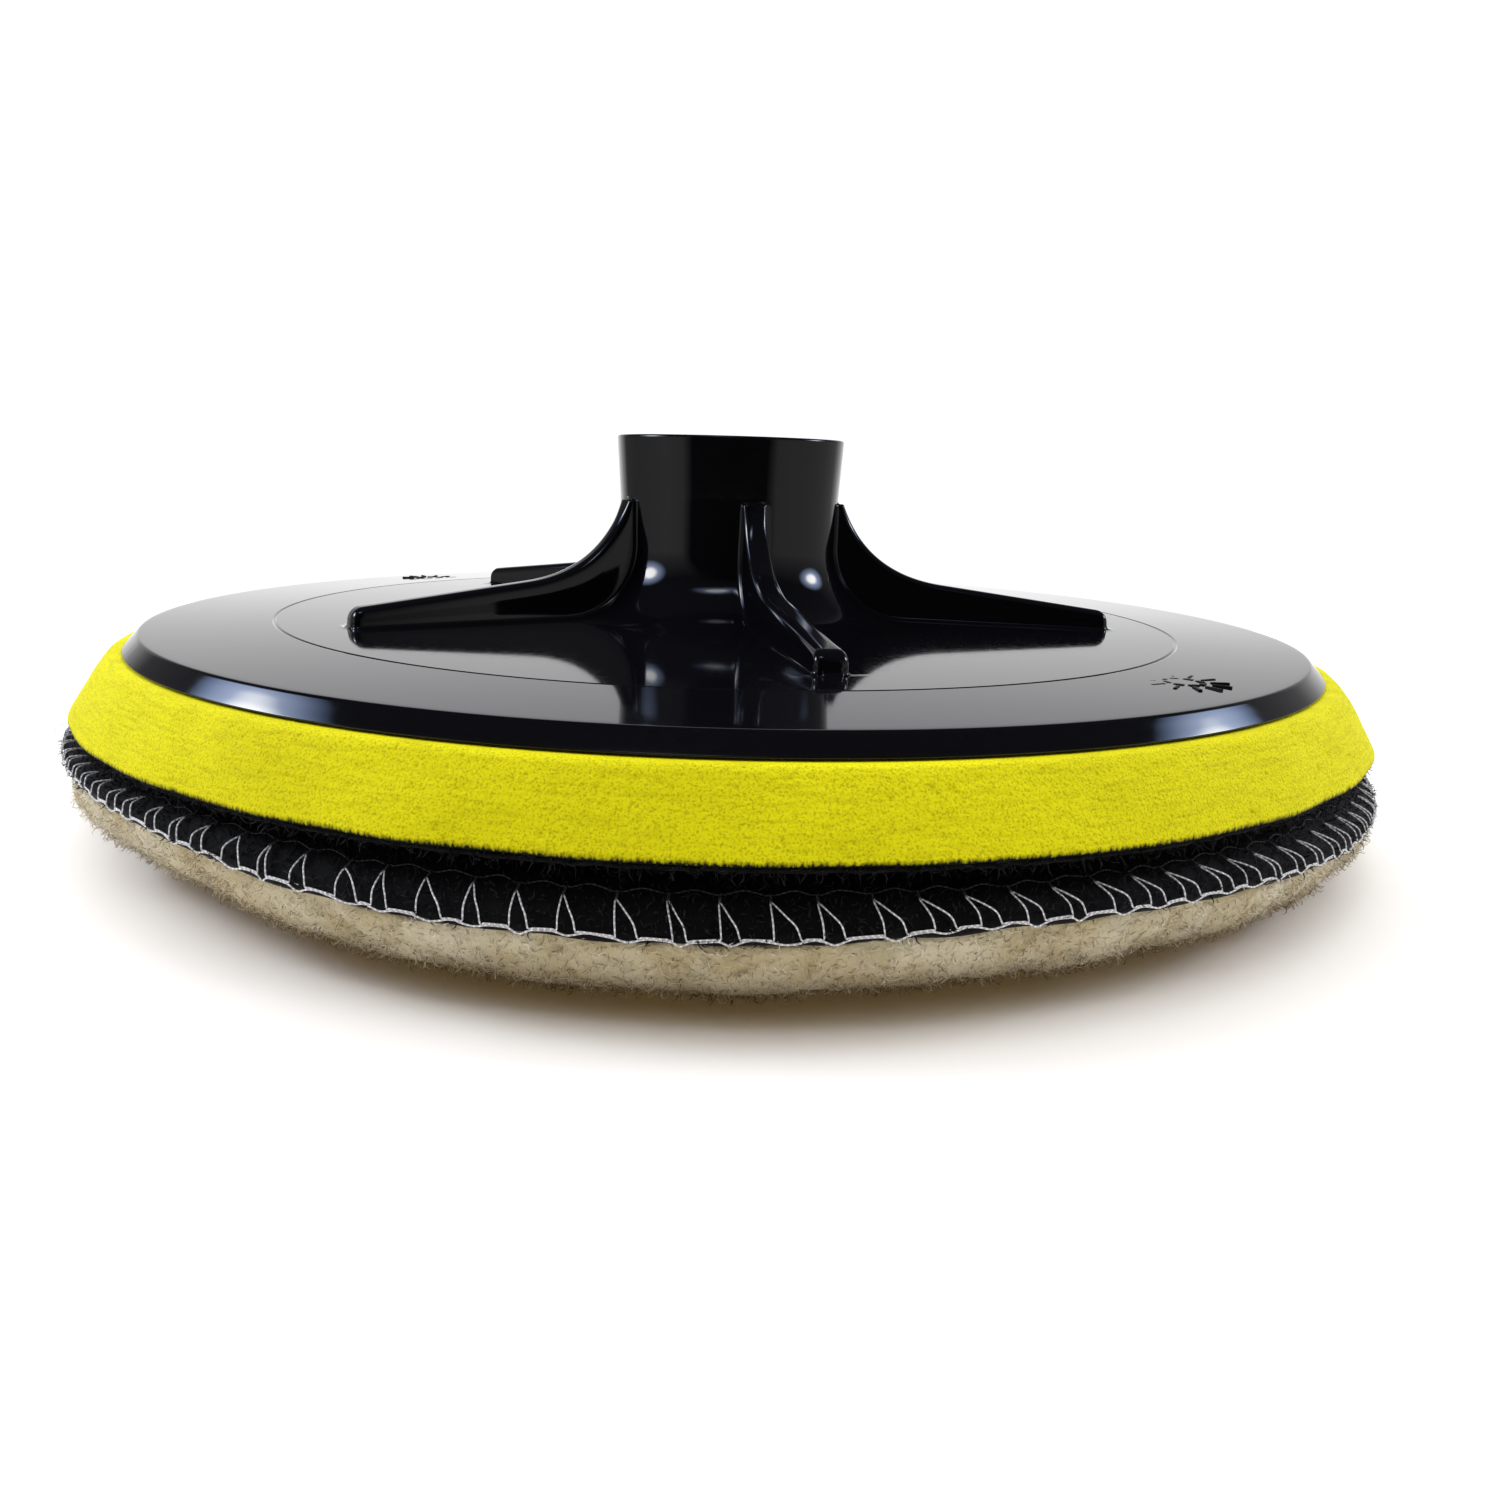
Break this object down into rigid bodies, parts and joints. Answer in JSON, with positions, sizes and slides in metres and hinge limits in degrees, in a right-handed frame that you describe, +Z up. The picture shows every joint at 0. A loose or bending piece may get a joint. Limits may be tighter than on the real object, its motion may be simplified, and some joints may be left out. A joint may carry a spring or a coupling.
{
  "type": "rotary polisher head",
  "caption": "Polishing head for a rotary polisher: ribbed backing plate with threaded hub, foam cushion with hook face and a wool pad with overlocked edge.",
  "frame": {"origin": "middle of the wool's polishing face, which rests on the surface under the head", "axes": "+Z up the spindle axis from the polishing face to the threaded hub; one gusset rib lies 12 degrees from -Y towards +X"},
  "size_m": [0.1824, 0.1824, 0.0527],
  "materials": {
    "gloss_black_plastic": "injection moulded gloss",
    "turned_steel": "turned and tapped steel",
    "clear_adhesive": "cured contact adhesive",
    "yellow_foam": "fine closed-cell foam, skived edge",
    "hook_tape_black": "woven tape with nylon hooks",
    "loop_cloth_black": "brushed loop velour",
    "ground_cloth_natural": "knitted ground cloth",
    "wool_cream": "cropped wool pile",
    "thread_white": "twisted polyester thread"
  },
  "bodies": {
    "wool_pad": {"loop_backing": "loop_cloth_black", "pad_adhesive": "clear_adhesive", "ground_cloth": "ground_cloth_natural", "wool_pile": "wool_cream", "needle_thread": "thread_white", "upper_looper_thread": "thread_white", "lower_looper_thread": "thread_white"},
    "plate_assembly": {"backing_plate": "gloss_black_plastic", "threaded_insert": "turned_steel", "plate_adhesive": "clear_adhesive", "foam_cushion": "yellow_foam", "hook_adhesive": "clear_adhesive", "hook_tape": "hook_tape_black"}
  },
  "joints": [
    {"name": "pad_release", "type": "slide", "parent": "wool_pad", "child": "plate_assembly", "axis": [0, 0, 1], "range_m": [0, 0.035]}
  ]
}
